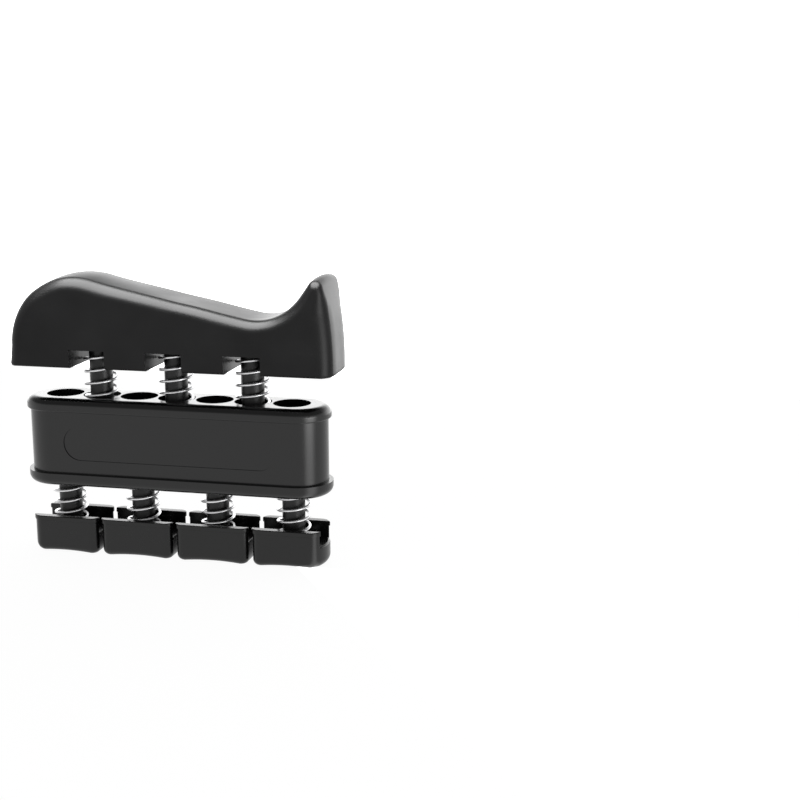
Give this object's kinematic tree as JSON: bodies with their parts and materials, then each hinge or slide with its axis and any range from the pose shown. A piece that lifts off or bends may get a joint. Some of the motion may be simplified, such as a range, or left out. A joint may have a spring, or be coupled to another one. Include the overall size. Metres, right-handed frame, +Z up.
{
  "type": "finger exerciser",
  "caption": "Hand and finger exerciser: a contoured palm rest on sprung posts over a rounded body, with separate sprung buttons for the fingers below.",
  "frame": {"origin": "on the surface that the finger buttons stand on, under the middle of the body", "axes": "+Z up from the finger buttons to the palm rest, +X along the row of fingers towards the palm rest's horn, -Y towards the front with the sunken panel"},
  "size_m": [0.092, 0.019, 0.08],
  "materials": {
    "palm_plastic": "smooth matte black",
    "body_plastic": "satin dark grey with a glossy rim",
    "cover_plastic": "satin dark grey",
    "button_plastic": "satin dark grey",
    "post_plastic": "matte dark grey",
    "spring_steel": "bright plated wire",
    "washer_steel": "zinc plated",
    "screw_steel": "zinc plated"
  },
  "bodies": {
    "body": {"body_shell": "body_plastic", "bottom_cover": "cover_plastic", "palm_spring_1": "spring_steel", "palm_spring_2": "spring_steel", "palm_spring_3": "spring_steel", "finger_spring_1": "spring_steel", "finger_spring_2": "spring_steel", "finger_spring_3": "spring_steel", "finger_spring_4": "spring_steel"},
    "palm": {"palm_rest": "palm_plastic", "palm_post_1": "post_plastic", "palm_post_2": "post_plastic", "palm_post_3": "post_plastic", "palm_washers": "washer_steel", "palm_screws": "screw_steel"},
    "finger_1": {"finger_button_1": "button_plastic", "finger_post_1": "post_plastic", "finger_washer_1": "washer_steel", "finger_screw_1": "screw_steel"},
    "finger_2": {"finger_button_2": "button_plastic", "finger_post_2": "post_plastic", "finger_washer_2": "washer_steel", "finger_screw_2": "screw_steel"},
    "finger_3": {"finger_button_3": "button_plastic", "finger_post_3": "post_plastic", "finger_washer_3": "washer_steel", "finger_screw_3": "screw_steel"},
    "finger_4": {"finger_button_4": "button_plastic", "finger_post_4": "post_plastic", "finger_washer_4": "washer_steel", "finger_screw_4": "screw_steel"}
  },
  "joints": [
    {"name": "finger_1_pull", "type": "slide", "parent": "body", "child": "finger_1", "axis": [0, 0, 1], "range_m": [0, 0.009], "stiffness_N_per_m": 950, "springref_m": -0.003, "deforming": ["finger_spring_1"]},
    {"name": "finger_2_pull", "type": "slide", "parent": "body", "child": "finger_2", "axis": [0, 0, 1], "range_m": [0, 0.009], "stiffness_N_per_m": 950, "springref_m": -0.003, "deforming": ["finger_spring_2"]},
    {"name": "finger_3_pull", "type": "slide", "parent": "body", "child": "finger_3", "axis": [0, 0, 1], "range_m": [0, 0.009], "stiffness_N_per_m": 950, "springref_m": -0.003, "deforming": ["finger_spring_3"]},
    {"name": "finger_4_pull", "type": "slide", "parent": "body", "child": "finger_4", "axis": [0, 0, 1], "range_m": [0, 0.009], "stiffness_N_per_m": 950, "springref_m": -0.003, "deforming": ["finger_spring_4"]},
    {"name": "palm_press", "type": "slide", "parent": "body", "child": "palm", "axis": [0, 0, -1], "range_m": [0, 0.0082], "stiffness_N_per_m": 2850, "springref_m": -0.003, "deforming": ["palm_spring_1", "palm_spring_2", "palm_spring_3"]}
  ]
}
